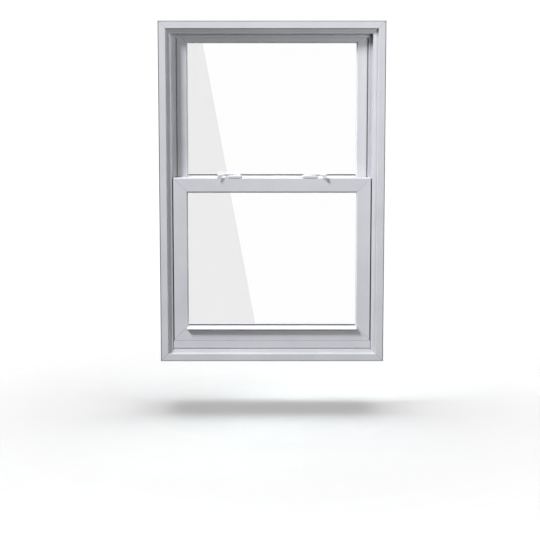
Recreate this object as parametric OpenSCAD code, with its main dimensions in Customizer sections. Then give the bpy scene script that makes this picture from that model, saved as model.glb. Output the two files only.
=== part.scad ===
// Double-hung sash window in white vinyl: a welded frame, two balanced sashes that
// slide past each other, insulating glass, sweep locks and tilt latches.
// Millimetres. X runs along the width, +Y to the outside, +Z up.
// The origin is at the middle of the frame's base.
//
// Sections are drawn in two directions: the first, "in", is measured from the outer edge
// of the frame (or sash) towards the glass, and the second, "deep", from the room side
// of the frame (or sash) towards the outside.

/* [Overall] */
// Width of the frame
frame_w = 800; // [560:10:1200]
// Height of the frame
frame_h = 1212; // [960:4:1800]
// Height of the top of the lower sash
meeting_h = 661; // [480:1:760]

/* [Frame section] */
// Wall of every frame and sash extrusion
wall = 2; // [1.6:0.1:2.6]
// Width of the room-side flange
flange_w = 27; // [22:0.5:33]
// How far the inner flange and the lower sash are set back from the room-side flange
set_back = 14; // [10:0.5:20]
// Distance from the frame's edge to the face of the sash tracks
track_in = 44.5; // [42:0.5:54]
// How far the parting stop stands out of the track face
stop_reach = 13.5; // [8:0.5:16]
// Thickness of the parting stop
stop_t = 4.5; // [4:0.5:8]
// How far the outside stop stands out of the track face
outer_stop_reach = 7.5; // [5:0.5:12]
// Thickness of the outside stop
outer_stop_t = 3; // [3:0.5:6]
// Width of the slot in each track that the pivot bar and the latch bolt run in
slot_w = 9; // [8:0.5:12]
// Distance from the frame's top to the floor of the head pocket
pocket_in = 22; // [20:0.5:24]
// Width of the trim groove round the room-side flange
groove_w = 2.4; // [1.6:0.2:4]
// Depth of the trim groove
groove_d = 5; // [3:0.5:8]
// Radius of the installation screw holes
screw_hole_r = 2.6; // [2:0.1:4]

/* [Sill] */
// Height of the inner sill step in front of the dam
sill_step_h = 38.8; // [36:0.2:44]
// Height of the sill under the lower sash
sill_floor_h = 45; // [45:0.5:52]
// Height of the sill at its outside edge
sill_nose_h = 36; // [28:1:42]
// Height of the visible face of the sill dam
dam_face_h = 27; // [20:0.5:34]
// Height of the shadow gap under the dam's face
dam_gap_h = 6.9; // [4:0.1:10]
// Thickness of the dam
dam_t = 2.5; // [2:0.1:4]

/* [Sashes] */
// Thickness of each sash
sash_t = 28; // [28:0.5:34]
// Width of the stiles
stile_w = 51; // [46:0.5:62]
// Height of the upper sash's rails
rail_h = 51; // [46:0.5:62]
// Height of the lower sash's top rail
meeting_rail_h = 53; // [46:0.5:64]
// Height of the bottom rail's face
bottom_face_h = 54.5; // [48:0.5:70]
// How much higher the upper sash's meeting rail ends than the lower one's
meeting_lift = 5; // [3:0.5:12]
// Depth of the glass pocket
pocket_d = 14; // [12:0.5:18]
// How far the lift ledge stands out of the bottom rail
ledge_reach = 13.8; // [8:0.2:14]
// Height of the lift ledge's nose
ledge_nose_h = 3; // [2:0.2:6]

/* [Glass] */
// Thickness of a pane
pane_t = 3; // [3:0.5:4]
// Space between the panes
pane_gap = 12; // [8:0.5:12]
// How far the glass reaches into its pocket
glass_bite = 12; // [9:0.5:12]

/* [Locks and balances] */
// Distance of each lock's pivot from the window's middle
lock_x = 135; // [90:1:170]
// Length of a lock base
lock_l = 58; // [50:1:70]
// Height of a lock base above the rail
lock_h = 10; // [10:0.5:14]
// Length of a lever from its pivot
lever_l = 63; // [50:1:70]
// Depth of the balance channels behind the tracks
channel_depth = 15.5; // [13:0.5:18]
// How far the balance coils hang above the upper sash's shoes
coil_rise = 70; // [30:1:120]
// Outer radius of a balance coil
coil_r = 12; // [9:0.5:12]
// Length of a balance shoe
shoe_l = 50; // [40:1:70]

/* [Clearances] */
// Between a sash and the face of its track
track_gap = 4.5; // [3:0.1:7]
// Between the lower sash and the parting stop
stop_gap = 2.5; // [2:0.1:4]
// Between the parting stop and the upper sash
upper_gap = 1; // [0.6:0.1:3]
// Between the upper sash and the outside stop
outer_gap = 2; // [1.5:0.1:4]
// Between a sash and what it closes against at the head and sill
close_gap = 3; // [2:0.5:5]
// Running clearance of small moving or inserted pieces
fit = 0.3; // [0.2:0.05:0.6]

/* [Hidden] */

$fn = 40;
vinyl = "#e4e4ea";
vinyl_trim = "#d8d8de";
glass_tint = [0.86, 0.93, 0.92, 0.35];
steel = "#b9bcc0";
seal_grey = "#8c8f93";
nylon = "#d2d0c8";

// Small roundings: the frame's front corner, its step, the stops and the sash edges
front_r = 1.6;
step_r = 1.2;
stop_r = 1;
edge_r = 0.9;
lip_r = 0.8;
// Thickness of the stops' own walls, and of the lip outside the trim groove
stop_wall = 1.4;
trim_lip = 0.8;
// How far a cut runs past the face it leaves by, and a length longer than any depth here
over = 1;
through = 400;

// Depths, measured from the room side of the frame
lower_v = set_back;
stop_v = lower_v + sash_t + stop_gap;
upper_v = stop_v + stop_t + upper_gap;
outer_stop_v = upper_v + sash_t + outer_gap;
frame_d = outer_stop_v + outer_stop_t;

// The channel inside the outer edge of every sash bar, where bars and bolts slide
tube_out = 2;
tube_in = 16;
tube_near = 10;
tube_far = sash_t - wall;

// The balance channel behind each track, and the middle of its slot
channel_mouth = track_in - wall;
channel_in = channel_mouth - channel_depth;
lower_channel = [set_back + wall, stop_v - wall];
upper_channel = [upper_v + 0.5, frame_d - wall];
slot_offset = (tube_near + tube_far) / 2;
lower_slot_v = lower_v + slot_offset;
upper_slot_v = upper_v + slot_offset;

// Outer sizes of the sashes
sash_in = track_in + track_gap;
sash_w = frame_w - 2 * sash_in;
lower_z = sill_floor_h + close_gap;
lower_h = meeting_h - lower_z;
upper_top = frame_h - pocket_in - close_gap;
upper_z = meeting_h + meeting_lift - rail_h;
upper_h = upper_top - upper_z;
bottom_leg_h = sill_step_h + dam_gap_h + dam_face_h + fit - lower_z;
bottom_rail_h = bottom_leg_h + bottom_face_h;

// The glazing: where the pocket starts, and how deep the panes lie in the sash
glaze_leg = 5;
glaze_bevel = 3.5;
tape_t = 0.5;
inner_pane_v = glaze_leg + tape_t;
outer_pane_v = inner_pane_v + pane_t + pane_gap;
bead_v = outer_pane_v + pane_t + tape_t;
bead_w = 12.5;
bead_slope = 2.5;
bead_gap = 0.2;
spacer_w = 7;
spacer_inset = 3;
block_l = 60;

shadow_slot = [9.7, 14];
shadow_slot_d = tube_near - wall;

// Interlock hooks on the two meeting rails
hook_t = 1.5;
hook_drop = 11;
hook_top_z = meeting_h - 4;
hook_bottom_z = hook_top_z - 17;
hook_near = 1.2;
hook_root = 0.5;
hook_far = stop_v + stop_t - 2;

// Locks
lock_v = lower_v + sash_t / 2;
lock_z = meeting_h;
lock_wall = 1.3;
lock_d = sash_t + 1.5;
lock_corner_r = 6;
lever_rest = 17;
lever_swing = 120;
lever_t = 3;
lever_hub_r = 9;
lever_root = 8.5;
lever_tip_r = 5;
tab_l = 16;
tab_h = 18;
tab_t = 2.6;
tab_corner = 2;
tab_y = -7.6;
cam_rib = 2;
cam_half = 15;
cam_t = 2;
cam_rib_h = 4;
hub_r = 5;
hole_clear = 0.3;
keeper_w = 44;
keeper_lip = 9;
keeper_lip_t = 1.2;
keeper_near = 1;
keeper_low = 26;
keeper_nose_t = 3;
keeper_nose_in = 6;
keeper_under = 0.2;
// From the lower sash's back face outward: the lip, the cam's rib with a gap on each side,
// and the plate, which takes up what is left of the space between the sashes
rib_near = keeper_near + keeper_lip_t + 1;
keeper_t = upper_v - lower_v - sash_t - rib_near - cam_rib - 0.8;
cam_r = sash_t / 2 + rib_near + cam_rib;
cam_low = 0.5;
cam_top = cam_low + cam_t + cam_rib_h;
keeper_z = lock_z + cam_top + 1;
hook_notch = keeper_w + 8;
screw_r = 1.8;
screw_head_r = 3.4;
screw_head_h = 1.8;
lock_screw_x = 23.5;
keeper_screw_x = 15;
keeper_screw_drop = 21;

// Balances
shoe_t = channel_depth - 3.5;
shoe_cam_r = 8;
shoe_cam_in = 3;
bar_t = 6;
bar_h = 9;
bar_block_l = 40;
bar_reach = channel_in + 5;
coil_core_r = 6;
coil_pin_r = 2;
coil_side = 0.4;
tape_steel = 0.3;
bracket_t = 1.2;
coil_z = upper_z + shoe_l + coil_rise;
lower_shoe_z = lower_z;
upper_shoe_z = upper_z;
lower_bar_z = lower_z + bottom_leg_h / 2;
upper_bar_z = upper_z + (tube_out + tube_in) / 2;

// Tilt latches
latch_l = 66;
latch_h = 8;
latch_out = channel_mouth - 4.5;
bolt_w = slot_w - 1.4;
bolt_h = latch_h - 1;
tab_slot_in = 30;
tab_slot_l = 34;
tab_w = 9;
latch_tab_l = 16;
latch_tab_h = 1;
// The coil stays clear of the bolt, which passes it when a sash is raised
coil_w = latch_out - channel_in - bracket_t - coil_side - 1.4;

// Installation holes, in the upper sash's track, clear of its shoe
hole_v = upper_v + 7;
hole_low_z = 100;
hole_high_z = frame_h - 112;

function arc(c, r, from, to, n = 4) =
    [for (i = [0 : n]) c + r * [cos(from + (to - from) * i / n), sin(from + (to - from) * i / n)]];

// ---- Placing: turns a bar drawn as (in, deep, along) into the window ----

module left_bar() translate([-frame_w / 2, -frame_d / 2, 0]) children();
module right_bar() mirror([1, 0, 0]) left_bar() children();
module top_bar() translate([-frame_w / 2, -frame_d / 2, frame_h]) rotate([0, 90, 0]) children();
module base_bar() translate([-frame_w / 2, -frame_d / 2, 0]) mirror([0, 0, 1]) rotate([0, 90, 0])
    children();

// The same four places for the bars of a sash of height h whose lowest point is at z
module sash_left(v, z) translate([-sash_w / 2, v - frame_d / 2, z]) children();
module sash_right(v, z) mirror([1, 0, 0]) sash_left(v, z) children();
module sash_top(v, z, h) translate([-sash_w / 2, v - frame_d / 2, z + h]) rotate([0, 90, 0])
    children();
module sash_base(v, z) translate([-sash_w / 2, v - frame_d / 2, z]) mirror([0, 0, 1])
    rotate([0, 90, 0]) children();

// Keeps the part of a bar between two mitres. Each mitre runs from the outer corner, after
// a square stretch "tail", to "reach" in and "slant" along. The tail lies at the low edge.
module mitred(length, reach, start, end, tail = 0) {
    intersection() {
        children();
        translate([0, through / 2, 0]) rotate([90, 0, 0]) linear_extrude(through)
            polygon([[0, 0], [tail, 0], [reach, start],
                [reach, length - end], [tail, length], [0, length]]);
    }
}

// ---- Frame ----

// Room-side flange and inner flange, shared by every frame bar, up to the track face
function flange_outline(inner) = concat(
    [[0, 0]],
    arc([flange_w - front_r, front_r], front_r, -90, 0),
    [[flange_w, set_back]],
    arc([inner - step_r, set_back + step_r], step_r, -90, 0));

function stop_outline() = concat(
    [[track_in, stop_v]],
    arc([track_in + stop_reach - stop_r, stop_v + stop_r], stop_r, -90, 0),
    arc([track_in + stop_reach - stop_r, stop_v + stop_t - stop_r], stop_r, 0, 90));

function outer_stop_outline() = concat(
    [[track_in + outer_stop_reach, outer_stop_v]],
    arc([track_in + outer_stop_reach - stop_r, frame_d - stop_r], stop_r, 0, 90),
    [[0, frame_d]]);

module trim_groove() translate([trim_lip, -over]) square([groove_w, groove_d + over]);

module jamb_outline() polygon(concat(flange_outline(track_in), stop_outline(),
    [[track_in, stop_v + stop_t], [track_in, outer_stop_v]], outer_stop_outline()));

module head_outline() polygon(concat(flange_outline(track_in), stop_outline(),
    [[pocket_in, stop_v + stop_t], [pocket_in, outer_stop_v]], outer_stop_outline()));

module sill_outline() polygon(concat(flange_outline(sill_step_h),
    [[sill_step_h, dam_back_v()], [sill_floor_h, dam_back_v()], [sill_floor_h, stop_v],
     [sill_nose_h, frame_d - sill_bevel], [sill_nose_h - sill_bevel, frame_d], [0, frame_d]]));

// The dam's foot stands on the sill step, against the riser
sill_bevel = 3;
dam_foot_in = 3;
dam_foot_t = 4;
dam_end_gap = 1.5;
function dam_back_v() = set_back + dam_foot_in + dam_t + fit;

// Chambers of the room-side flange, then of the body behind it
module flange_chamber() translate([trim_lip + groove_w + wall, wall])
    square([flange_w - groove_w - trim_lip - 2 * wall, set_back - wall]);

module body_chambers(deep) {
    gap = (frame_d - set_back - 4 * wall) / 3;
    for (i = [0 : 2])
        translate([wall, set_back + wall + i * (gap + wall)]) square([deep - 2 * wall, gap]);
}

module channel(span, slot_at) {
    translate([channel_in, span[0]]) square([channel_depth, span[1] - span[0]]);
    translate([channel_mouth - over, slot_at - slot_w / 2]) square([wall + 2 * over, slot_w]);
}

module jamb_section() difference() {
    jamb_outline();
    trim_groove();
    flange_chamber();
    body_chambers(channel_in);
    channel(lower_channel, lower_slot_v);
    channel(upper_channel, upper_slot_v);
    translate([channel_in, stop_v]) square([channel_depth, upper_channel[0] - 1.5 * wall - stop_v]);
    translate([track_in, stop_v + stop_wall])
        square([stop_reach - wall, stop_t - 2 * stop_wall]);
}

module head_section() difference() {
    head_outline();
    trim_groove();
    flange_chamber();
    body_chambers(pocket_in);
    translate([pocket_in + wall, set_back + wall])
        square([track_in - pocket_in - 2 * wall, stop_v - set_back - 2 * wall]);
    translate([pocket_in + wall, stop_v + stop_wall])
        square([track_in + stop_reach - pocket_in - 2 * wall, stop_t - 2 * stop_wall]);
}

module sill_section() difference() {
    sill_outline();
    trim_groove();
    flange_chamber();
    translate([wall, set_back + wall])
        square([sill_step_h - 2 * wall, dam_back_v() - set_back]);
    translate([wall, dam_back_v() + 2 * wall])
        square([sill_floor_h - 2 * wall, stop_v - dam_back_v() - 3 * wall]);
    polygon([[wall, stop_v + wall], [sill_floor_h - 2 * wall - 1, stop_v + wall],
        [sill_nose_h - wall - 1, frame_d - sill_bevel],
        [sill_nose_h - wall - 2, frame_d - wall], [wall, frame_d - wall]]);
}

frame_reach = track_in + stop_reach;

// The filled shapes that the head and sill take up, which the jambs are coped to
module head_envelope() top_bar()
    mitred(frame_w, frame_reach, frame_reach, frame_reach) linear_extrude(frame_w) head_outline();
module sill_envelope() base_bar()
    mitred(frame_w, sill_floor_h, sill_floor_h, sill_floor_h) linear_extrude(frame_w) sill_outline();

module frame_head() color(vinyl) top_bar()
    mitred(frame_w, frame_reach, frame_reach, frame_reach) linear_extrude(frame_w) head_section();

module frame_sill() color(vinyl) difference() {
    base_bar() mitred(frame_w, sill_floor_h, sill_floor_h, sill_floor_h)
        linear_extrude(frame_w) sill_section();
    for (x = weep_x) {
        translate([x - weep_l / 2 + weep_ends, frame_d / 2 - wall - over, weep_z + weep_rim])
            cube([weep_l - 2 * weep_ends, wall + 2 * over, weep_h - 2 * weep_rim]);
        translate([x - weep_l / 2 - fit, frame_d / 2 - weep_t, weep_z - fit])
            cube([weep_l + 2 * fit, weep_t + over, weep_h + 2 * fit]);
    }
}

module jamb() difference() {
    left_bar() linear_extrude(frame_h) jamb_section();
    head_envelope();
    sill_envelope();
    for (z = [hole_low_z, hole_high_z])
        translate([-frame_w / 2 - over, hole_v - frame_d / 2, z]) rotate([0, 90, 0])
            cylinder(h = track_in + 2 * over, r = screw_hole_r);
}

module frame_jamb_left() color(vinyl) jamb();
module frame_jamb_right() color(vinyl) mirror([1, 0, 0]) jamb();

// Plate flush with the sash face, on a foot that stands on the sill step
module sill_dam() color(vinyl) {
    length = frame_w - 2 * (track_in + dam_end_gap);
    face_z = sill_step_h + dam_gap_h;
    top_z = face_z + dam_face_h - fit;
    foot_v = dam_foot_in + dam_t;
    translate([-length / 2, set_back - frame_d / 2, 0]) rotate([90, 0, 90]) linear_extrude(length)
        polygon(concat(
            arc([lip_r, face_z + lip_r], lip_r, 270, 180, 3),
            arc([lip_r, top_z - lip_r], lip_r, 180, 90, 3),
            [[dam_t, top_z], [dam_t, face_z + dam_foot_t], [foot_v, face_z + dam_foot_t],
             [foot_v, sill_step_h], [dam_foot_in, sill_step_h], [dam_foot_in, face_z]]));
}

// Weep covers clip into shallow recesses on the outside of the sill
weep_l = 46;
weep_h = 10;
weep_t = 0.8;
weep_z = 8;
weep_ends = 6;
weep_rim = 2;
weep_from_side = 170;
weep_x = [-frame_w / 2 + weep_from_side, frame_w / 2 - weep_from_side];

module weep_covers() color(vinyl_trim) for (x = weep_x)
    translate([x, frame_d / 2, weep_z + weep_h / 2]) rotate([90, 0, 0])
        linear_extrude(weep_t) difference() {
            square([weep_l, weep_h], center = true);
            translate([0, -weep_h / 2])
                square([weep_l - 2 * (weep_ends + weep_rim), weep_rim + over], center = true);
        }

// Pile strip on the floor of the head pocket, in front of the latches
pile_w = 5;
pile_from_edge = 2;

module head_seal() color(seal_grey) {
    length = sash_w - 6;
    translate([-length / 2, upper_v + pile_from_edge - frame_d / 2,
        frame_h - pocket_in - close_gap + fit])
        cube([length, pile_w, close_gap - fit]);
}

// ---- Sashes ----

// Section of a sash bar of the given width, with its glass pocket. slotted gives the
// narrow slot in the face that clears the parting stop's shadow line.
module bar_section(width, slotted = false) {
    floor = width - pocket_d;
    difference() {
        polygon(concat(
            arc([edge_r, edge_r], edge_r, 180, 270),
            arc([width - glaze_bevel - lip_r, lip_r], lip_r, 270, 305, 2),
            [[width, glaze_leg - lip_r], [width, glaze_leg], [floor, glaze_leg], [floor, sash_t]],
            arc([edge_r, sash_t - edge_r], edge_r, 90, 180)));
        translate([tube_out, slotted ? tube_near : wall])
            square([tube_in - tube_out, tube_far - (slotted ? tube_near : wall)]);
        translate([tube_in + wall, wall]) square([floor - tube_in - 2 * wall, sash_t - 2 * wall]);
        if (slotted)
            translate([shadow_slot[0], -over])
                square([shadow_slot[1] - shadow_slot[0], shadow_slot_d + over]);
    }
}

// The bottom rail: the same bar on a hidden leg, with the lift ledge across its face
leg_v = 8;
ledge_drop = 9.5;
ledge_curve = 7;
nose_r = 1.5;
face_chamber = 16;

module bottom_section() {
    floor = bottom_rail_h - pocket_d;
    nose = bottom_rail_h - ledge_drop;
    root = nose - ledge_nose_h - ledge_curve;
    difference() {
        polygon(concat(
            [[0, leg_v], [bottom_leg_h, leg_v]],
            arc([bottom_leg_h + edge_r, edge_r], edge_r, 180, 270),
            [for (a = [0 : 15 : 90])
                [root + ledge_curve * sin(a), (nose_r - ledge_reach) * (1 - cos(a))]],
            arc([nose - nose_r, nose_r - ledge_reach], nose_r, 180, 270, 3),
            arc([nose - step_r, step_r - ledge_reach], step_r, 290, 350, 3),
            [[bottom_rail_h - glaze_bevel, 0], [bottom_rail_h, glaze_leg - lip_r],
             [bottom_rail_h, glaze_leg], [floor, glaze_leg], [floor, sash_t], [0, sash_t]]));
        translate([wall, tube_near])
            square([bottom_leg_h - 2 * wall, tube_far - tube_near]);
        translate([bottom_leg_h + wall, wall]) square([face_chamber, sash_t - 2 * wall]);
        translate([bottom_leg_h + 2 * wall + face_chamber, wall])
            square([floor - bottom_leg_h - 3 * wall - face_chamber, sash_t - 2 * wall]);
    }
}

// Opening in a top rail and in the stile beside it that the tilt latch runs in
module latch_cuts(v, top) {
    for (s = [-1, 1]) {
        translate([s * (sash_w / 2 - tab_slot_in - tab_slot_l / 2), v + slot_offset - frame_d / 2, top])
            cube([tab_slot_l, tab_w, 2 * (wall + over)], center = true);
        translate([s * sash_w / 2, v + slot_offset - frame_d / 2, top - tube_out - latch_h / 2 - fit])
            cube([2 * (wall + over), bolt_w + 2 * fit, bolt_h + 2 * fit], center = true);
    }
}

// Opening in a sash's lower outer corner for the pivot bar's tongue
module pivot_cuts(v, z) for (s = [-1, 1])
    translate([s * sash_w / 2, v + slot_offset - frame_d / 2, z])
        cube([2 * (wall + over), bar_t + 2 * fit, bar_h + 2 * fit], center = true);

// Hook of an interlock: an arm out of the rail's face and a lip, cut away at the locks
module hook_strip(z, from, to, lip_from, lip_low, lip_high) {
    length = light_w;
    difference() {
        union() {
            translate([-length / 2, from - frame_d / 2, z]) cube([length, to - from, hook_t]);
            translate([-length / 2, lip_from - frame_d / 2, lip_low])
                cube([length, hook_t, lip_high - lip_low]);
        }
        for (x = [-lock_x, lock_x])
            translate([x - hook_notch / 2, from - frame_d / 2 - sash_t, lip_low - over])
                cube([hook_notch, to - from + 2 * sash_t, lip_high - lip_low + 2 * over]);
    }
}

module lower_stile() {
    difference() {
        sash_left(lower_v, lower_z) difference() {
            linear_extrude(lower_h) bar_section(stile_w);
            translate([0, -over, 0]) rotate([-90, 0, 0]) linear_extrude(sash_t + 2 * over)
                polygon([[-over, over], [-over, stile_w - bottom_rail_h],
                    [0, stile_w - bottom_rail_h], [stile_w, -bottom_rail_h],
                    [stile_w + over, -bottom_rail_h], [stile_w + over, over]]);
            translate([0, -over, 0]) rotate([-90, 0, 0]) linear_extrude(sash_t + 2 * over)
                polygon([[0, -lower_h], [stile_w, -lower_h + meeting_rail_h],
                    [stile_w + over, -lower_h + meeting_rail_h], [stile_w + over, -lower_h - over],
                    [0, -lower_h - over]]);
        }
        latch_cuts(lower_v, meeting_h);
    }
}

module lower_stile_left() color(vinyl) lower_stile();
module lower_stile_right() color(vinyl) mirror([1, 0, 0]) lower_stile();

module lower_top_rail() color(vinyl) {
    difference() {
        union() {
            sash_top(lower_v, lower_z, lower_h)
                mitred(sash_w, meeting_rail_h, stile_w, stile_w)
                linear_extrude(sash_w) meeting_section();
            hook_strip(hook_top_z - hook_t, lower_v + sash_t - hook_root, hook_far,
                hook_far - hook_t, hook_top_z - hook_drop, hook_top_z);
        }
        latch_cuts(lower_v, meeting_h);
        for (x = [-lock_x, lock_x], s = [-1, 1])
            translate([x + s * lock_screw_x, lock_v - frame_d / 2, lock_z - 2 * wall])
                cylinder(h = 3 * wall, r = screw_r + hole_clear);
    }
}

// The lower meeting rail has a broad bevel along its top edge on the room side
top_bevel = 3;
top_flat = 0.6;
bevel_d = 2.6;

module meeting_section() difference() {
    bar_section(meeting_rail_h);
    polygon([[-over, -over], [top_bevel, -over], [top_bevel, 0],
        [top_flat, bevel_d], [-over, bevel_d]]);
}

// How far the lift ledge runs past the glass at each end, where it is cut square
ledge_past = 5;

module lower_bottom_rail() color(vinyl) difference() {
    sash_base(lower_v, lower_z)
        mitred(sash_w, bottom_rail_h, stile_w, stile_w, bottom_rail_h - stile_w)
        linear_extrude(sash_w) bottom_section();
    for (x = [-sash_w / 2, light_w / 2 + ledge_past])
        translate([x, lower_v - ledge_reach - over - frame_d / 2, lower_z])
            cube([stile_w - ledge_past, ledge_reach + over, bottom_rail_h]);
}

module upper_stile() difference() {
    sash_left(upper_v, upper_z)
        mitred(upper_h, stile_w, rail_h, rail_h) linear_extrude(upper_h) bar_section(stile_w, true);
    latch_cuts(upper_v, upper_top);
    pivot_cuts(upper_v, upper_bar_z);
}

module upper_stile_left() color(vinyl) upper_stile();
module upper_stile_right() color(vinyl) mirror([1, 0, 0]) upper_stile();

module upper_top_rail() color(vinyl) difference() {
    sash_top(upper_v, upper_z, upper_h)
        mitred(sash_w, rail_h, stile_w, stile_w) linear_extrude(sash_w) bar_section(rail_h, true);
    latch_cuts(upper_v, upper_top);
}

module upper_bottom_rail() color(vinyl) difference() {
    union() {
        sash_base(upper_v, upper_z)
            mitred(sash_w, rail_h, stile_w, stile_w) linear_extrude(sash_w) bar_section(rail_h, true);
        hook_strip(hook_bottom_z, lower_v + sash_t + hook_near, upper_v + hook_root,
            lower_v + sash_t + hook_near, hook_bottom_z, hook_bottom_z + hook_drop);
    }
    pivot_cuts(upper_v, upper_bar_z);
    for (x = [-lock_x, lock_x], s = [-1, 1])
        translate([x + s * keeper_screw_x, upper_v - over - frame_d / 2, keeper_z - keeper_screw_drop])
            rotate([-90, 0, 0]) cylinder(h = 2 * wall, r = screw_r + hole_clear);
}

// ---- Glazing ----

// Edges of the daylight opening of each sash: low and high
lower_light = [lower_z + bottom_rail_h, meeting_h - meeting_rail_h];
upper_light = [upper_z + rail_h, upper_top - rail_h];
light_w = sash_w - 2 * stile_w;

// A sheet t thick at depth v in the sash that reaches "over" past the daylight opening
module sheet(light, sash_v, v, t, over) {
    translate([-light_w / 2 - over, sash_v + v - frame_d / 2, light[0] - over])
        cube([light_w + 2 * over, t, light[1] - light[0] + 2 * over]);
}

module spacer(light, sash_v) difference() {
    sheet(light, sash_v, inner_pane_v + pane_t, pane_gap, glass_bite - spacer_inset);
    sheet(light, sash_v, inner_pane_v + pane_t - over, pane_gap + 2 * over,
        glass_bite - spacer_inset - spacer_w);
}

// One bead: a flat strip with a sloped inner edge, mitred at both ends
module bead(length) intersection() {
    linear_extrude(length)
        polygon([[0, 0], [bead_w, 0], [bead_w - bead_slope, sash_t - bead_v], [0, sash_t - bead_v]]);
    translate([0, through / 2, 0]) rotate([90, 0, 0]) linear_extrude(through)
        polygon([[0, bead_gap], [pocket_d, pocket_d + bead_gap],
            [pocket_d, length - pocket_d - bead_gap], [0, length - bead_gap]]);
}

module glazing_beads(light, sash_v) {
    w = light_w + 2 * pocket_d;
    h = light[1] - light[0] + 2 * pocket_d;
    y = sash_v + bead_v - frame_d / 2;
    z = light[0] - pocket_d;
    translate([-w / 2, y, z]) bead(h);
    mirror([1, 0, 0]) translate([-w / 2, y, z]) bead(h);
    translate([-w / 2, y, z + h]) rotate([0, 90, 0]) bead(w);
    translate([-w / 2, y, z]) mirror([0, 0, 1]) rotate([0, 90, 0]) bead(w);
}

module setting_blocks(light, sash_v) for (s = [-1, 1])
    translate([s * light_w / 4 - block_l / 2, sash_v + inner_pane_v - frame_d / 2, light[0] - pocket_d])
        cube([block_l, 2 * pane_t + pane_gap, pocket_d - glass_bite]);

module lower_glass_inner() color(glass_tint)
    sheet(lower_light, lower_v, inner_pane_v, pane_t, glass_bite);
module lower_glass_outer() color(glass_tint)
    sheet(lower_light, lower_v, outer_pane_v, pane_t, glass_bite);
module lower_spacer() color(steel) spacer(lower_light, lower_v);
module lower_glazing_beads() color(vinyl) glazing_beads(lower_light, lower_v);
module lower_setting_blocks() color(seal_grey) setting_blocks(lower_light, lower_v);

module upper_glass_inner() color(glass_tint)
    sheet(upper_light, upper_v, inner_pane_v, pane_t, glass_bite);
module upper_glass_outer() color(glass_tint)
    sheet(upper_light, upper_v, outer_pane_v, pane_t, glass_bite);
module upper_spacer() color(steel) spacer(upper_light, upper_v);
module upper_glazing_beads() color(vinyl) glazing_beads(upper_light, upper_v);
module upper_setting_blocks() color(seal_grey) setting_blocks(upper_light, upper_v);

// ---- Seals ----

// Bulb under the lower sash's leg
module lower_bottom_seal() color(seal_grey) {
    r = (close_gap - fit) / 2;
    length = sash_w - 4;
    translate([-length / 2, lower_v + leg_v + 12 - frame_d / 2, lower_z - r]) rotate([0, 90, 0])
        cylinder(h = length, r = r);
}

module pile(v, z, h, tall) for (s = [-1, 1])
    translate([s * (sash_w / 2 - pile_from_edge - 1 - pile_w / 2) - pile_w / 2, v - frame_d / 2, z])
        cube([pile_w, tall, h]);

module lower_pile_seals() color(seal_grey)
    pile(lower_v + sash_t, lower_z + 1, lower_h - 2, stop_gap - fit);
module upper_pile_seals() color(seal_grey)
    pile(upper_v + sash_t, upper_z + 1, upper_h - 2, outer_gap - fit);

// ---- Locks: drawn round the pivot on the rail top, for the left side ----

module at_lock(side) {
    if (side < 0) translate([-lock_x, lock_v - frame_d / 2, lock_z]) children();
    else mirror([1, 0, 0]) translate([-lock_x, lock_v - frame_d / 2, lock_z]) children();
}

module rounded_block(l, d, h, r) {
    translate([r - l / 2, -d / 2, 0]) cube([l - 2 * r, d, h]);
    translate([-l / 2, r - d / 2, 0]) cube([l, d - 2 * r, h]);
    for (x = [-1, 1], y = [-1, 1])
        translate([x * (l / 2 - r), y * (d / 2 - r), 0]) cylinder(h = h, r = r);
}

module lock_base() difference() {
    translate([0, (sash_t - lock_d) / 2, 0]) union() {
        rounded_block(lock_l, lock_d, lock_h - 3, lock_corner_r);
        rounded_block(lock_l - 2, lock_d - 2, lock_h - 1, lock_corner_r - 1);
        rounded_block(lock_l - 5, lock_d - 5, lock_h, lock_corner_r - 2);
    }
    intersection() {
        translate([0, 0, -over]) cylinder(h = cam_top + over + fit, r = cam_r + 0.8);
        translate([-lock_l / 2, lock_wall + sash_t / 2 - lock_d, -over])
            cube([lock_l, 2 * lock_d, lock_h]);
    }
    translate([0, 0, -over]) cylinder(h = lock_h + 2 * over, r = hub_r + hole_clear);
    for (s = [-1, 1]) translate([s * lock_screw_x, 0, 0]) {
        translate([0, 0, -over]) cylinder(h = lock_h + 2 * over, r = screw_r + hole_clear);
        translate([0, 0, lock_h - screw_head_h])
            cylinder(h = 2 * screw_head_h, r = screw_head_r + hole_clear);
    }
}

// Arm that tapers from the hub to a rounded tip, with a finger tab that hangs in front
module lock_lever() rotate([0, 0, lever_rest]) {
    z = lock_h + fit;
    translate([0, 0, z]) cylinder(h = lever_t + 1, r = lever_hub_r);
    translate([0, 0, z]) linear_extrude(lever_t)
        polygon(concat([[0, lever_root], [0, -lever_root]],
            arc([lever_tip_r - lever_l, 0], lever_tip_r, 270, 90, 8)));
    translate([-lever_l + 1, tab_y, lever_t + z - tab_h]) {
        translate([tab_corner, 0, 0]) cube([tab_l - 2 * tab_corner, tab_t, tab_h]);
        translate([0, 0, tab_corner]) cube([tab_l, tab_t, tab_h - tab_corner]);
    }
    translate([-lever_l + 1, tab_y, z]) cube([tab_l, 6, lever_t]);
}

// Shaft that the lever is pressed on, and the hooked lobe that turns behind the keeper
module lock_cam() {
    translate([0, 0, cam_low]) cylinder(h = lock_h + fit - cam_low, r = hub_r);
    difference() {
        translate([0, 0, cam_low]) cylinder(h = cam_t + cam_rib_h, r = cam_r);
        translate([0, 0, cam_low + cam_t]) cylinder(h = cam_rib_h + over, r = cam_r - cam_rib);
        for (s = [-1, 1])
            rotate([0, 0, cam_rest() + s * cam_half])
                translate([-2 * cam_r, s > 0 ? 0 : -2 * cam_r, -over])
                cube([4 * cam_r, 2 * cam_r, 2 * lock_h]);
    }
}

// At rest the lobe lies inside the base; the full swing brings it square to the keeper
function cam_rest() = 90 - lever_swing;

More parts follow.
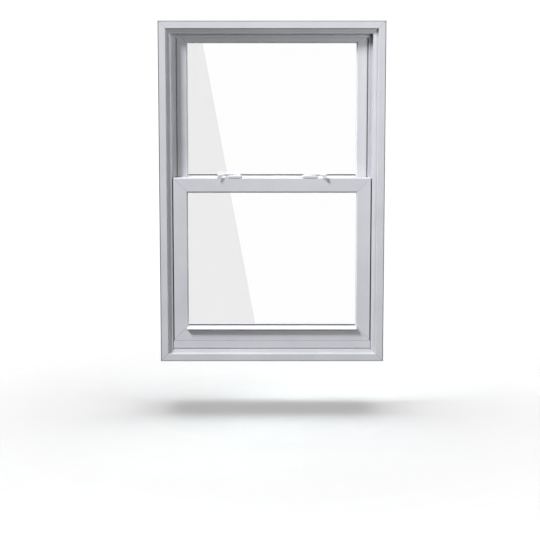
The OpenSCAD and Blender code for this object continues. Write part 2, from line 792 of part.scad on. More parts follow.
module lock_base_left() color(vinyl) at_lock(-1) lock_base();
module lock_base_right() color(vinyl) at_lock(1) lock_base();
module lock_lever_left() color(vinyl) at_lock(-1) lock_lever();
module lock_lever_right() color(vinyl) at_lock(1) lock_lever();
module lock_cam_left() color(steel) at_lock(-1) lock_cam();
module lock_cam_right() color(steel) at_lock(1) lock_cam();

module screw(length) {
    cylinder(h = screw_head_h, r = screw_head_r);
    translate([0, 0, -length]) cylinder(h = length + screw_head_h / 2, r = screw_r);
}

module lock_screws() color(steel) for (side = [-1, 1], s = [-1, 1])
    at_lock(side) translate([s * lock_screw_x, 0, lock_h - screw_head_h]) screw(lock_h + 2);

// Plate on the upper meeting rail with a nose whose lip the cam's rib turns behind
module keeper() {
    y_near = lower_v + sash_t + keeper_near - lock_v;
    y_plate = upper_v - keeper_t - lock_v;
    top = keeper_z - lock_z;
    difference() {
        union() {
            translate([-keeper_w / 2, y_plate, top + keeper_nose_t - keeper_low])
                cube([keeper_w, keeper_t, keeper_low]);
            translate([keeper_nose_in - keeper_w / 2, y_near, top])
                cube([keeper_w - 2 * keeper_nose_in, y_plate - y_near + keeper_t / 2,
                    keeper_nose_t]);
            translate([-keeper_lip / 2, y_near, top - cam_rib_h])
                cube([keeper_lip, keeper_lip_t, cam_rib_h + keeper_nose_t / 2]);
        }
        for (s = [-1, 1])
            translate([s * keeper_screw_x, y_plate - over, top - keeper_screw_drop])
                rotate([-90, 0, 0]) {
                    cylinder(h = keeper_t + 2 * over, r = screw_r + hole_clear);
                    cylinder(h = over + keeper_t - keeper_under, r = screw_head_r + hole_clear);
                }
    }
}

module keeper_left() color(vinyl) at_lock(-1) keeper();
module keeper_right() color(vinyl) at_lock(1) keeper();

module keeper_screws() color(steel) for (side = [-1, 1], s = [-1, 1])
    at_lock(side)
        translate([s * keeper_screw_x, upper_v - keeper_under - lock_v,
            keeper_z - lock_z - keeper_screw_drop])
        rotate([90, 0, 0]) screw(10);

// ---- Balances: drawn for the left jamb, in the channel that fills the depths in span ----

module on_side(side) {
    if (side < 0) children();
    else mirror([1, 0, 0]) children();
}

function middle(span) = (span[0] + span[1]) / 2;

module coil(span) translate([-frame_w / 2 + channel_in, middle(span) - frame_d / 2, coil_z])
    rotate([0, 90, 0]) {
        difference() {
            union() {
                cylinder(h = bracket_t, r = coil_r);
                cylinder(h = bracket_t + coil_w + coil_side, r = coil_core_r - coil_side);
            }
            translate([0, 0, -over]) cylinder(h = 2 * channel_depth, r = coil_pin_r);
        }
        translate([0, 0, bracket_t + coil_side / 2]) difference() {
            cylinder(h = coil_w - coil_side / 2, r = coil_r);
            translate([0, 0, -over]) cylinder(h = coil_w + 2 * over, r = coil_core_r - coil_side);
        }
    }

// Straight run of the spring tape from the coil's near side down to the shoe
module tape(span, shoe_z) translate([-frame_w / 2 + channel_in + bracket_t + coil_side,
        middle(span) - coil_r - frame_d / 2 - tape_steel, shoe_z + shoe_l])
    cube([coil_w - 2 * coil_side, tape_steel, coil_z - shoe_z - shoe_l]);

// Nylon block with rounded ends and a round cam that grips the pivot bar
module shoe(span, slot_v, z, bar_z) {
    y_bar = slot_v - frame_d / 2;
    difference() {
        translate([-frame_w / 2 + channel_in + fit, span[0] + 2 * fit - frame_d / 2, z])
            cube([shoe_t, span[1] - span[0] - 4 * fit, shoe_l]);
        translate([-frame_w / 2 + channel_in + shoe_cam_in, y_bar, bar_z]) rotate([0, 90, 0])
            cylinder(h = channel_depth, r = shoe_cam_r);
    }
    difference() {
        translate([-frame_w / 2 + channel_in + shoe_cam_in + 0.2, y_bar, bar_z])
            rotate([0, 90, 0]) cylinder(h = shoe_t - shoe_cam_in, r = shoe_cam_r - fit);
        translate([-frame_w / 2 + bar_reach - fit, y_bar - bar_t / 2 - fit, bar_z - bar_h / 2 - fit])
            cube([channel_depth, bar_t + 2 * fit, bar_h + 2 * fit]);
    }
}

// Block that fits the sash's hollow corner, with the tongue that enters the shoe
module pivot_bar(v, block_z, block_h, bar_z) {
    translate([-sash_w / 2 + tube_out + 0.5, v + tube_near + fit - frame_d / 2, block_z + fit])
        cube([bar_block_l, tube_far - tube_near - 2 * fit, block_h - 2 * fit]);
    translate([-frame_w / 2 + bar_reach, v + slot_offset - bar_t / 2 - frame_d / 2, bar_z - bar_h / 2])
        cube([sash_in - bar_reach + 6, bar_t, bar_h]);
}

module coil_lower_left() color(steel) on_side(-1) coil(lower_channel);
module coil_lower_right() color(steel) on_side(1) coil(lower_channel);
module coil_upper_left() color(steel) on_side(-1) coil(upper_channel);
module coil_upper_right() color(steel) on_side(1) coil(upper_channel);
module tape_lower_left() color(steel) on_side(-1) tape(lower_channel, lower_shoe_z);
module tape_lower_right() color(steel) on_side(1) tape(lower_channel, lower_shoe_z);
module tape_upper_left() color(steel) on_side(-1) tape(upper_channel, upper_shoe_z);
module tape_upper_right() color(steel) on_side(1) tape(upper_channel, upper_shoe_z);
module lower_shoe() shoe(lower_channel, lower_slot_v, lower_shoe_z, lower_bar_z);
module upper_shoe() shoe(upper_channel, upper_slot_v, upper_shoe_z, upper_bar_z);
module shoe_lower_left() color(nylon) on_side(-1) lower_shoe();
module shoe_lower_right() color(nylon) on_side(1) lower_shoe();
module shoe_upper_left() color(nylon) on_side(-1) upper_shoe();
module shoe_upper_right() color(nylon) on_side(1) upper_shoe();

module lower_pivot_bar() pivot_bar(lower_v, lower_z + wall, bottom_leg_h - 2 * wall, lower_bar_z);
module upper_pivot_bar() pivot_bar(upper_v, upper_z + tube_out, tube_in - tube_out, upper_bar_z);
module pivot_bar_lower_left() color(steel) on_side(-1) lower_pivot_bar();
module pivot_bar_lower_right() color(steel) on_side(1) lower_pivot_bar();
module pivot_bar_upper_left() color(steel) on_side(-1) upper_pivot_bar();
module pivot_bar_upper_right() color(steel) on_side(1) upper_pivot_bar();

// ---- Tilt latches ----

// Slider inside the top rail's hollow edge, with a bolt that enters the track's slot
module tilt_latch(v, top) {
    y = v + slot_offset - frame_d / 2;
    under = top - tube_out - fit;
    body_w = tube_far - tube_near - 1;
    translate([-sash_w / 2 + 4, y - body_w / 2, under - latch_h]) cube([latch_l, body_w, latch_h]);
    translate([-frame_w / 2 + latch_out, y - bolt_w / 2, under - (latch_h + bolt_h) / 2])
        cube([sash_in - latch_out + 8, bolt_w, bolt_h]);
    translate([-sash_w / 2 + tab_slot_in + 1, y - tab_w / 2 + fit, under - over])
        cube([latch_tab_l, tab_w - 2 * fit, over + fit + tube_out + latch_tab_h]);
}

module tilt_latch_lower_left() color(vinyl_trim) on_side(-1) tilt_latch(lower_v, meeting_h);
module tilt_latch_lower_right() color(vinyl_trim) on_side(1) tilt_latch(lower_v, meeting_h);
module tilt_latch_upper_left() color(vinyl_trim) on_side(-1) tilt_latch(upper_v, upper_top);
module tilt_latch_upper_right() color(vinyl_trim) on_side(1) tilt_latch(upper_v, upper_top);

frame_head();
frame_sill();
frame_jamb_left();
frame_jamb_right();
sill_dam();
weep_covers();
head_seal();
coil_lower_left();
coil_lower_right();
coil_upper_left();
coil_upper_right();
tape_lower_left();
tape_lower_right();
tape_upper_left();
tape_upper_right();
lower_top_rail();
lower_bottom_rail();
lower_stile_left();
lower_stile_right();
lower_glass_inner();
lower_glass_outer();
lower_spacer();
lower_glazing_beads();
lower_setting_blocks();
lower_bottom_seal();
lower_pile_seals();
lock_base_left();
lock_base_right();
lock_screws();
lock_lever_left();
lock_lever_right();
lock_cam_left();
lock_cam_right();
pivot_bar_lower_left();
pivot_bar_lower_right();
shoe_lower_left();
shoe_lower_right();
tilt_latch_lower_left();
tilt_latch_lower_right();
upper_top_rail();
upper_bottom_rail();
upper_stile_left();
upper_stile_right();
upper_glass_inner();
upper_glass_outer();
upper_spacer();
upper_glazing_beads();
upper_setting_blocks();
upper_pile_seals();
keeper_left();
keeper_right();
keeper_screws();
pivot_bar_upper_left();
pivot_bar_upper_right();
shoe_upper_left();
shoe_upper_right();
tilt_latch_upper_left();
tilt_latch_upper_right();
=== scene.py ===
import math

import bpy
import numpy as np
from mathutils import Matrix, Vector


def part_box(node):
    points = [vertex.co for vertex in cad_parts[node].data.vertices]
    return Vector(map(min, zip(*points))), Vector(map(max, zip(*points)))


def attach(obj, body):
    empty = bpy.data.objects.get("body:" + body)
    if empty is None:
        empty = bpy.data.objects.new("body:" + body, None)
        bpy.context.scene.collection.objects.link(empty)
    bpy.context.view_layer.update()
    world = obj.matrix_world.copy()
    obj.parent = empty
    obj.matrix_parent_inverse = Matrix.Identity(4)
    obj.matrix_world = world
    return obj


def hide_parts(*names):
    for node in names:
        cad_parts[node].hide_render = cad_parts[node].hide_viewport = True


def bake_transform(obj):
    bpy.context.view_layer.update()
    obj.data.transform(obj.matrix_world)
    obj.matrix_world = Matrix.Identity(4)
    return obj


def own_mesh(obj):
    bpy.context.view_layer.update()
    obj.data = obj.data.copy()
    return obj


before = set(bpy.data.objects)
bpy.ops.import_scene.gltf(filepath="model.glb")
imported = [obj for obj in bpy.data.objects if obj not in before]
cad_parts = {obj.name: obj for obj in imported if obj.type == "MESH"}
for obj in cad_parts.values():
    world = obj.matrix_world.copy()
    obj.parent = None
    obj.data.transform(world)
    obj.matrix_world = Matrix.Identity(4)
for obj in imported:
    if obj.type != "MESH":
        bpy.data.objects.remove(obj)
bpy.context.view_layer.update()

# ---- Frame ----
# Head, sill and two jambs of white rigid vinyl, extruded as hollow sections, cut at 45
# degrees and welded at the corners. The weld is cleaned to a shallow line across the faces.

MM = 0.001
VINYL, VINYL_CLOUD, VINYL_SEAM = "#d4d5d9", "#cfd0d5", "#a3a4ab"
VINYL_ROUGHNESS = 0.38
# In mm: the width of a die line and of a cloud, and the height of the lines and depth of a seam
DIE_LINE, CLOUD, DIE_LINE_HIGH, SEAM_DEEP = 4.0, 90.0, 0.006, 0.3
DIE_LINE_DRAWN_OUT = 600
SEAM_HALF_WIDTH, SEAM_COLOUR_SHARE = 1.1, 0.8


def linear(code, alpha=1.0):
    """An sRGB hex colour as linear light: c/12.92 when dark, else ((c+0.055)/1.055)^2.4."""
    c = np.array([int(code[i:i + 2], 16) for i in (1, 3, 5)]) / 255
    low, high = c / 12.92, ((c + 0.055) / 1.055) ** 2.4
    return (*np.where(c <= 0.04045, low, high).tolist(), alpha)


def add(tree, kind, inputs=(), out=0, **settings):
    """One shader node with its settings, its inputs set or linked in order or by name.
    Gives back the output named or numbered by out."""
    node = tree.nodes.new("ShaderNode" + kind)
    for name, value in settings.items():
        setattr(node, name, value)
    for key, value in inputs.items() if isinstance(inputs, dict) else enumerate(inputs):
        if isinstance(value, bpy.types.NodeSocket):
            tree.links.new(value, node.inputs[key])
        else:
            node.inputs[key].default_value = value
    return node.outputs[out] if node.outputs else node


def finish(name, **sockets):
    """A material holding one shader: (material, tree, shader, object coordinates)."""
    material = bpy.data.materials.new(name)
    material.use_nodes = True
    tree = material.node_tree
    tree.nodes.clear()
    surface = add(tree, "BsdfPrincipled", {k.replace("_", " "): v for k, v in sockets.items()})
    add(tree, "OutputMaterial", [surface])
    return material, tree, surface.node, add(tree, "TexCoord", out="Object")


def coat(tree, shader, colour, roughness, height, lift_mm, strength):
    """Gives the shader its colour and roughness, and a relief lift_mm tall."""
    relief = add(tree, "Bump", {"Height": height, "Distance": lift_mm * MM, "Strength": strength})
    for name, value in (("Base Color", colour), ("Roughness", roughness), ("Normal", relief)):
        tree.links.new(value, shader.inputs[name])


def spots(tree, place, across_mm, drawn_out=(1, 1, 1), detail=2.0):
    """Cloudy spots across_mm wide, drawn out along an axis by a number over 1."""
    scale = [1 / (across_mm * MM * s) for s in drawn_out]
    placed = add(tree, "Mapping", {"Vector": place, "Scale": scale})
    return add(tree, "TexNoise", {"Vector": placed, "Scale": 1.0, "Detail": detail}, "Fac")


def weld_lines(tree, place, corners):
    """1 on the weld lines, 0 away from them. Each corner is (x, z, rise): the line leaves the
    point (x, z), on both sides of the middle, and rises by "rise" per metre outward. Distance
    is measured upright, so that a line at 45 degrees is 1.41 times as thick as it is wide."""
    split = add(tree, "SeparateXYZ", [place]).node.outputs
    out = add(tree, "Math", [split["X"]], operation="ABSOLUTE")
    nearest = 1.0
    for x, z, rise in corners:
        off = add(tree, "Math", [out, -rise, rise * x - z], operation="MULTIPLY_ADD")
        off = add(tree, "Math", [off, split["Z"]], operation="ADD")
        off = add(tree, "Math", [off], operation="ABSOLUTE")
        nearest = add(tree, "Math", [off, nearest], operation="MINIMUM")
    half = SEAM_HALF_WIDTH * MM
    return add(tree, "MapRange", [nearest, 0.3 * half, 1.41 * half, 1.0, 0.0])


def extruded_vinyl(name, along, corners=()):
    """Rigid vinyl as it leaves the die: satin gloss that a faint cloud in the white and fine
    straight lines along the bar, drawn wider than life so that they show, break up."""
    material, tree, shader, place = finish(name, Roughness=VINYL_ROUGHNESS, IOR=1.53)
    drawn_out = [DIE_LINE_DRAWN_OUT if axis == along else 1 for axis in "XYZ"]
    lines = spots(tree, place, DIE_LINE, drawn_out)
    cloud = add(tree, "MapRange", [spots(tree, place, CLOUD), 0.35, 0.65])
    colour = add(tree, "Mix", {0: cloud, 6: linear(VINYL), 7: linear(VINYL_CLOUD)}, 2,
                 data_type="RGBA")
    height = add(tree, "Math", [lines, DIE_LINE_HIGH], operation="MULTIPLY")
    if corners:
        seam = weld_lines(tree, place, corners)
        share = add(tree, "Math", [seam, SEAM_COLOUR_SHARE], operation="MULTIPLY")
        colour = add(tree, "Mix", {0: share, 6: colour, 7: linear(VINYL_SEAM)}, 2,
                     data_type="RGBA")
        height = add(tree, "Math", [seam, -SEAM_DEEP, height], operation="MULTIPLY_ADD")
    roughness = add(tree, "MapRange", [lines, 0.3, 0.7, VINYL_ROUGHNESS - 0.05,
                                       VINYL_ROUGHNESS + 0.07])
    coat(tree, shader, colour, roughness, height, 1.0, 0.7)
    return material


def dress(material, *names):
    """Gives parts of the frame model their finish."""
    for name in names:
        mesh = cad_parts[name].data
        mesh.materials.clear()
        mesh.materials.append(material)


frame_low, frame_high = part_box("frame_sill")[0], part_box("frame_head")[1]
frame_corners = [(frame_high.x, frame_high.z, 1), (frame_high.x, frame_low.z, -1)]
dress(extruded_vinyl("extruded_vinyl_frame_across", "X", frame_corners),
      "frame_head", "frame_sill")
dress(extruded_vinyl("extruded_vinyl_frame_upright", "Z", frame_corners),
      "frame_jamb_left", "frame_jamb_right")

# ---- Sill dam and weep covers ----
# A vinyl angle clipped on the sill step, which the lower sash closes behind, and two
# moulded covers over the drain slots on the outside.

MOTTLE = 25


def moulded(name, colour, mottle_colour, roughness, texture_mm, lift_mm):
    """Moulded plastic or a sprayed coat: an even colour with a faint mottle, and the fine
    texture of the mould, drawn coarser than life, which softens the shine."""
    material, tree, shader, place = finish(name, Roughness=roughness, IOR=1.5)
    mottle = add(tree, "MapRange", [spots(tree, place, MOTTLE), 0.3, 0.7])
    mottled = add(tree, "Mix", {0: mottle, 6: linear(colour), 7: linear(mottle_colour)}, 2,
                  data_type="RGBA")
    texture = spots(tree, place, texture_mm, detail=4.0)
    shine = add(tree, "MapRange", [texture, 0.3, 0.7, roughness - 0.05, roughness + 0.07])
    coat(tree, shader, mottled, shine, texture, lift_mm, 0.6)
    return material


# Trim vinyl is a shade greyer and duller than the bars beside it.
moulded_trim = moulded("moulded_vinyl_trim", "#c9cad2", "#c0c1c9", 0.42, 2.0, 0.05)
dress(extruded_vinyl("extruded_vinyl_dam", "X"), "sill_dam")
dress(moulded_trim, "weep_covers")

# ---- Sashes ----
# Two frames of hollow vinyl bars, welded at mitred corners. The upper sash stands in the
# outer track, and the lower one, with the lift ledge, in the inner track.

upper_low, upper_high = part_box("upper_stile_left")
stile = upper_high.x - upper_low.x
upper_corners = [(-upper_low.x, upper_high.z, 1), (-upper_low.x, upper_low.z, -1)]
dress(extruded_vinyl("extruded_vinyl_upper_across", "X", upper_corners),
      "upper_top_rail", "upper_bottom_rail")
dress(extruded_vinyl("extruded_vinyl_upper_upright", "Z", upper_corners),
      "upper_stile_left", "upper_stile_right")

lower_low, lower_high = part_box("lower_stile_left")
meeting_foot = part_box("lower_top_rail")[0].z
ledge_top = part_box("lower_bottom_rail")[1].z
lower_corners = [(-lower_low.x, lower_high.z, (lower_high.z - meeting_foot) / stile),
                 (-lower_low.x, ledge_top - stile, -1)]
dress(extruded_vinyl("extruded_vinyl_lower_across", "X", lower_corners),
      "lower_top_rail", "lower_bottom_rail")
dress(extruded_vinyl("extruded_vinyl_lower_upright", "Z", lower_corners),
      "lower_stile_left", "lower_stile_right")

# ---- Glass ----
# Two clear float panes in each sash, held apart by a folded aluminium spacer bar and bedded
# on rubber blocks. White foam tape beds the room side, and a dark grey rubber wedge along the
# foot is painted shade: it stands for the shade line where the pane meets the ledge.

sashes = ("lower", "upper")
METAL_LINE_DRAWN_OUT = 80
# In mm: how far tape and wedge show inside the opening, and their other sizes
TAPE_SHOWS, TAPE_COVERED, TAPE_THICK, TAPE_OFF_PANE = 0.8, 5.0, 0.44, 0.02
WEDGE_SHOWS, WEDGE_SUNK, WEDGE_THICK, WEDGE_OFF_PANE = 4.6, 0.2, 0.9, 0.05
WEDGE_AROUND = 16


def skin(rings, ends_meet=False):
    """Closed skin over rings (ring, point, xyz). Quads join each ring to the next; a fan to
    its middle closes each end, unless the last ring meets the first. All faces point outward:
    they are turned over if the volume they enclose, from triple products, is below zero."""
    rings = np.asarray(rings, float)
    count, around = rings.shape[:2]
    points = rings.reshape(-1, 3)
    at = np.arange(count * around).reshape(count, around)
    at = np.vstack([at, at[:1]]) if ends_meet else at
    beside = np.roll(at, -1, axis=1)
    quads = np.stack([at[:-1], beside[:-1], beside[1:], at[1:]], -1).reshape(-1, 4)
    fans = np.empty((0, 3), int)
    if not ends_meet:
        points = np.vstack([points, rings[0].mean(0), rings[-1].mean(0)])
        near = np.stack([beside[0], at[0], np.full(around, len(points) - 2)], -1)
        far = np.stack([at[-1], beside[-1], np.full(around, len(points) - 1)], -1)
        fans = np.vstack([near, far])
    a, b, c = points[np.vstack([quads[:, :3], quads[:, [0, 2, 3]], fans])].swapaxes(0, 1)
    if np.einsum("ij,ij->", a, np.cross(b, c)) < 0:
        quads, fans = quads[:, ::-1], fans[:, ::-1]
    return points, quads, fans


def piece(name, skins, material, body, stands_for=(), crease=35):
    """One piece out of closed skins, shaded smooth where faces meet below the crease angle.
    A piece with no body of its own stays unattached to any body."""
    starts = np.cumsum([0] + [len(points) for points, _, _ in skins])
    faces = [(part + start).tolist() for start, (_, quads, fans) in zip(starts, skins)
             for part in (quads, fans)]
    mesh = bpy.data.meshes.new(name)
    mesh.from_pydata(np.vstack([points for points, _, _ in skins]).tolist(), [], sum(faces, []))
    mesh.polygons.foreach_set("use_smooth", np.ones(len(mesh.polygons), bool))
    mesh.set_sharp_from_angle(angle=math.radians(crease))
    mesh.materials.append(material)
    made = bpy.data.objects.new(name, mesh)
    bpy.context.scene.collection.objects.link(made)
    if body:
        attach(made, body)
    if stands_for:
        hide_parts(*stands_for)
    return made


def full_turn(count):
    """Angles of a full turn in equal steps."""
    return np.linspace(0, 2 * np.pi, count, endpoint=False)


def rounded(turn, power):
    """Points (a, b) of the superellipse |a|^power + |b|^power = 1 at the angles given: a
    circle at power 2, and closer to a square the higher the power."""
    wave = np.stack([np.cos(turn), np.sin(turn)], -1)
    return np.sign(wave) * np.abs(wave) ** (2 / power)


def lining(low, high, shows, covered, near, far):
    """A strip round the inside of the opening low-high: its section, a rectangle from shows
    inside the edge to covered behind it and from near to far in depth, is carried round the
    four mitred corners."""
    inward = np.array([-covered, -covered, shows, shows])[None, :, None]
    corner = np.array([(-1, -1), (1, -1), (1, 1), (-1, 1)])[:, None, :]
    flat = (low + high) / 2 + corner * ((high - low) / 2 - inward)
    depth = np.broadcast_to(np.array([near, far, far, near])[None, :], (4, 4))
    return skin(np.stack([flat[..., 0], depth, flat[..., 1]], -1), ends_meet=True)


def wedge(low, high):
    """A plain strip between two corners, with its long edges rounded: the section
    |y|^4 + |z|^4 = 1 is carried from end to end."""
    low, high = np.array(low), np.array(high)
    section = (low + high)[1:] / 2 + (high - low)[1:] / 2 * rounded(full_turn(WEDGE_AROUND), 4)
    ends = np.array([low[0], high[0]])[:, None, None]
    return skin(np.concatenate([np.broadcast_to(ends, (2, WEDGE_AROUND, 1)),
                                np.broadcast_to(section, (2, WEDGE_AROUND, 2))], -1))


def float_glass():
    """Clear float glass: IOR 1.52, polished smooth, so that it mirrors the studio faintly. The
    tint of each pane greys what is seen through both. Lamps shine through it unbent."""
    material, tree, shader, _ = finish("clear_float_glass", Roughness=0.0, IOR=1.52,
                                       Base_Color=linear("#fbfbfb"), Transmission_Weight=1.0)
    shadow = add(tree, "LightPath", out="Is Shadow Ray")
    open_glass = add(tree, "BsdfTransparent", [linear("#f2f6f4")])
    mixed = add(tree, "MixShader", [shadow, shader.outputs[0], open_glass])
    tree.links.new(mixed, tree.nodes["Material Output"].inputs["Surface"])
    return material


def metal(name, colour, dark, roughness, line_mm, along):
    """Rolled or plated metal: fine straight lines along the strip, drawn wider than life,
    stretch its highlights."""
    material, tree, shader, place = finish(name, Roughness=roughness, Metallic=1.0)
    drawn_out = [METAL_LINE_DRAWN_OUT if axis == along else 1 for axis in "XYZ"]
    lines = spots(tree, place, line_mm, drawn_out, 3.0)
    share = add(tree, "MapRange", [lines, 0.3, 0.7])
    lined = add(tree, "Mix", {0: share, 6: linear(colour), 7: linear(dark)}, 2,
                data_type="RGBA")
    shine = add(tree, "MapRange", [lines, 0.3, 0.7, roughness - 0.06, roughness + 0.1])
    coat(tree, shader, lined, shine, lines, 0.02, 0.5)
    return material


dress(float_glass(), *[f"{sash}_glass_{pane}" for sash in sashes for pane in ("inner", "outer")])
# Mill-finish aluminium is pale, with a soft grey shine along the bar.
dress(metal("mill_aluminium_spacer", "#c9ccce", "#b4b8bb", 0.42, 1.5, "X"),
      "lower_spacer", "upper_spacer")
dress(extruded_vinyl("extruded_vinyl_beads", "X"), "lower_glazing_beads", "upper_glazing_beads")
# Black rubber is charcoal and dull, with a dusty bloom.
rubber = moulded("epdm_rubber", "#3b3d40", "#55585b", 0.7, 1.5, 0.1)
dress(rubber, "lower_setting_blocks", "upper_setting_blocks")

# Foam tape gives a thin white edge round the pane, and the wedge a dark line along its foot,
# which is painted shade.
foam = moulded("closed_cell_foam_tape", "#f4f4f6", "#e9e9ec", 0.6, 1.0, 0.05)
# The wedge's dark grey is painted shade, standing for the shade line under the pane, along the
# top of the ledge.
wedge_grey_painted_shade = moulded("wedge_rubber_painted_shade", "#4b4d51", "#424448", 0.6, 1.0, 0.05)
opening_half = -lower_high.x
opening_heights = {"lower": (ledge_top, meeting_foot),
                   "upper": (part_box("upper_bottom_rail")[1].z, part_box("upper_top_rail")[0].z)}
for sash, (foot_z, top_z) in opening_heights.items():
    pane_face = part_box(f"{sash}_glass_inner")[0].y
    piece(f"{sash}_foam_tape",
          [lining(np.array([-opening_half, foot_z]), np.array([opening_half, top_z]),
                  TAPE_SHOWS * MM, TAPE_COVERED * MM,
                  pane_face - TAPE_THICK * MM, pane_face - TAPE_OFF_PANE * MM)],
          foam, f"{sash}_sash")
    wedge_end = opening_half - TAPE_SHOWS * MM
    piece(f"{sash}_foot_wedge_painted_shade",
          [wedge((-wedge_end, pane_face - WEDGE_THICK * MM, foot_z - WEDGE_SUNK * MM),
                 (wedge_end, pane_face - WEDGE_OFF_PANE * MM, foot_z + WEDGE_SHOWS * MM))],
          wedge_grey_painted_shade, f"{sash}_sash")

# ---- Seals ----
# Strips of grey polypropylene pile, woven on a flat backing that slides in a groove of the
# stiles and the head, and a soft rubber bulb under the lower sash.

# In mm: a clump's length, the strip's width, and how far apart the rings stand
CLUMP, PILE_WIDE, PILE_STEP = 3.1, 5, 0.75
CLUMP_DIP = 0.22
PILE_AROUND = 9


def pile(name, low, high, along, out, body, stands_for, both_sides=False):
    """Woven pile from low to high: a rounded ridge, |across|^3 + |height|^3 = 1, is carried
    along the strip. Its height dips by CLUMP_DIP from clump to clump, a sine each CLUMP mm
    whose strength swings over five and a half clumps."""
    low, high = np.array(low), np.array(high)
    across = ({0, 1, 2} - {along, out}).pop()
    walk = np.arange(low[along], high[along], PILE_STEP * MM)
    ridge = rounded(np.linspace(0, np.pi, PILE_AROUND), 3)
    clump = 2 * np.pi * (walk - low[along]) / (CLUMP * MM)
    tall = 1 - CLUMP_DIP * (0.5 + 0.5 * np.sin(clump)) * (0.7 + 0.3 * np.sin(clump / 5.5))
    rings = np.empty((len(walk), PILE_AROUND, 3))
    rings[..., along] = walk[:, None]
    rings[..., across] = (low + high)[across] / 2 + (high - low)[across] / 2 * ridge[:, 0]
    rings[..., out] = low[out] + (high - low)[out] * ridge[:, 1] * tall[:, None]
    skins = [skin(rings)]
    if both_sides:
        skins.append(skin(rings * np.array([-1, 1, 1])))
    return piece(name, skins, pile_grey, body, stands_for, crease=60)


# Pile is a matt mid grey, with tufts drawn coarser than life.
pile_grey = moulded("woven_polypropylene_pile", "#8f9297", "#74777b", 0.85, 1.2, 0.4)
for sash in sashes:
    low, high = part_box(f"{sash}_pile_seals")
    pile(f"{sash}_pile_strips", low, (low.x + PILE_WIDE * MM, high.y, high.z), 2, 1,
         f"{sash}_sash", [f"{sash}_pile_seals"], both_sides=True)
low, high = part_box("head_seal")
pile("head_pile_strip", (low.x, low.y, high.z), (high.x, high.y, low.z), 0, 2, "frame",
     ["head_seal"])
dress(rubber, "lower_bottom_seal")

# ---- Balances ----
# Coil springs of steel tape in the jambs. Each tape runs down to a nylon shoe, which grips
# the cast pivot bar in the sash's lower corner, and winds up as the sash rises.

sides = ("left", "right")
corners_of_sashes = [f"{sash}_{side}" for sash in sashes for side in sides]
TAPE_BOW = 0.35
TAPE_ACROSS, TAPE_RINGS = 9, 40
# Zinc plate is a bluish grey with a soft shine, and rolled spring tape a darker, brighter one.
zinc = metal("zinc_plated_steel", "#b9bdc2", "#a3a7ad", 0.36, 1.2, "X")
tape_steel = metal("spring_steel_tape", "#a9adb2", "#8f9399", 0.3, 1.0, "Z")
dress(zinc, *[f"pivot_bar_{corner}" for corner in corners_of_sashes],
      *[f"coil_{corner}" for corner in corners_of_sashes])
# Natural nylon is a warm, waxy off-white.
dress(moulded("natural_nylon", "#cfccc2", "#c2bfb4", 0.5, 2.0, 0.05),
      *[f"shoe_{corner}" for corner in corners_of_sashes])


def spring_tape(name, body, stands_for):
    """Sprung tape: a thin strip whose middle bows forward by (1 - across^2) times TAPE_BOW,
    which keeps a real one straight, carried from the shoe up to the coil."""
    low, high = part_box(stands_for)
    across = np.linspace(-1, 1, TAPE_ACROSS)
    across = np.concatenate([across, across[::-1]])
    thick = np.repeat([0.0, 1.0], TAPE_ACROSS)
    x = (low.x + high.x) / 2 + (high.x - low.x) / 2 * across
    y = low.y + (high.y - low.y) * thick - TAPE_BOW * MM * (1 - across ** 2)
    z = np.linspace(low.z, high.z, TAPE_RINGS)
    rings = np.stack([*np.broadcast_arrays(x, y, z[:, None])], -1)
    return piece(name, [skin(rings)], tape_steel, body, [stands_for])


for side in sides:
    tape = spring_tape(f"spring_tape_lower_{side}", "frame", f"tape_lower_{side}")
    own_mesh(tape)
    tape = spring_tape(f"spring_tape_upper_{side}", None, f"tape_upper_{side}")
    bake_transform(tape)

# ---- Sash locks ----
# Two cam locks on the meeting rail: a die-cast zinc housing, open behind for the cam, and a
# cast lever pressed on the cam's shaft, all sprayed with baked white enamel, and a keeper.

# Baked enamel is the whitest and glossiest finish here, with a faint orange-peel texture.
enamel = moulded("baked_enamel_on_zinc", "#dcdde3", "#d6d7de", 0.24, 4.0, 0.03)
# Sizes of the locks in mm, from the foot of the pivot. The housing's two profiles hold (share
# of the way from the shaft's hole to the outline, height), and the hub's (radius, height).
HUB_HOLE, HOUSING_TOP = 5.3, 10
HOUSING_OUTSIDE = [(1.0, 0.0), (1.0, 2.0), (0.985, 5.0), (0.965, 7.0), (0.93, 8.1), (0.86, 8.6),
                   (0.74, 8.75), (0.6, 9.1), (0.42, 9.7), (0.2, 9.95), (0.0, 10.0)]
HOUSING_INSIDE = [(0.0, 8.7), (0.4, 8.4), (0.75, 7.6), (0.88, 6.6), (0.92, 3.0), (0.93, 0.0)]
MOUTH_HALF, MOUTH_HIGH, MOUTH_STEP = 21.0, 7.4, 3
HUB = [(8.4, 10.3), (9.0, 10.8), (9.0, 12.5), (8.6, 13.4), (7.2, 14.0), (4.6, 14.3),
       (3.4, 14.3), (3.0, 13.8), (0.6, 13.8)]
ARM_LENGTH, ARM_ROOT, ARM_TIP, ARM_LOW, ARM_THICK = 62.8, 8.2, 5.0, 10.35, 2.95
FINGER_FROM, FINGER_TO, FINGER_Y, FINGER_THICK, FINGER_LOW = 36.0, 62.4, -6.3, 2.5, -4.6
# The round nose, in shares of the arm: its start, its length, and the radius it closes by,
# a touch longer, so that the last ring keeps a width
NOSE_FROM, NOSE_LONG, NOSE_RADIUS = 0.92, 0.08, 0.0802
HOUSING_AROUND, LEVER_AROUND = 128, 48
LEVER_REST = math.radians(17)
HEAD_RADIUS = 3.4

# The pivots stand in line with the lock screws, whose heads' edge gives the screws' box.
pivot_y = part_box("lock_screws")[0].y + HEAD_RADIUS * MM
pivots = {}
for side in sides:
    low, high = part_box(f"lock_base_{side}")
    pivots[side] = np.array([(low.x + high.x) / 2, pivot_y, lower_high.z])
low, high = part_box("lock_base_left")
half_long, half_deep = (high.x - low.x) / 2 / MM, (high.y - low.y) / 2 / MM
middle_behind_pivot = (low.y + high.y) / 2 / MM - pivot_y / MM


